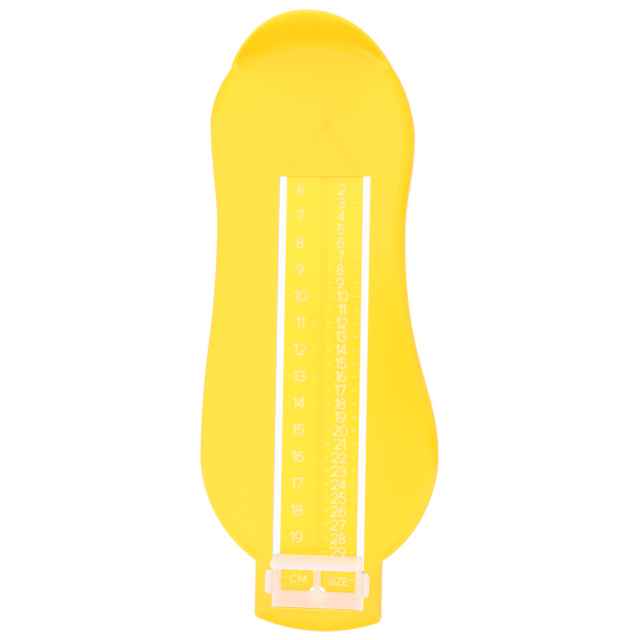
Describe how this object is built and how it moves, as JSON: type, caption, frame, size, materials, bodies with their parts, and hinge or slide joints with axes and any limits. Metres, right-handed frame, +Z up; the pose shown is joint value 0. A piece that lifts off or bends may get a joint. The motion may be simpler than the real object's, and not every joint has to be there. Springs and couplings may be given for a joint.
{
  "type": "foot measuring gauge",
  "caption": "Foot-shaped moulded board with a curved heel wall, a printed ruler strip between two slots and a clear toe slider that snaps into the slots and slides along the scale.",
  "frame": {"origin": "zero of the ruler scale, on the ruler's axis, in the plane of the rim that the board lies on; it lies on the rim's underside below the inner face of the heel wall", "axes": "+Z up out of the board, +Y from the toes to the heel along the ruler, +X towards the arch side of the board"},
  "size_m": [0.0898, 0.2276, 0.0262],
  "materials": {
    "board_plastic": "satin yellow polypropylene",
    "slider_plastic": "frosted natural polypropylene",
    "scale_ink": "white pad-printed ink"
  },
  "bodies": {
    "board": {"foot_board": "board_plastic", "cm_graduations": "scale_ink", "size_graduations": "scale_ink"},
    "slider": {"toe_slider": "slider_plastic"}
  },
  "joints": [
    {"name": "toe_slide", "type": "slide", "parent": "board", "child": "slider", "axis": [0, 1, 0], "range_m": [0, 0.14]}
  ]
}
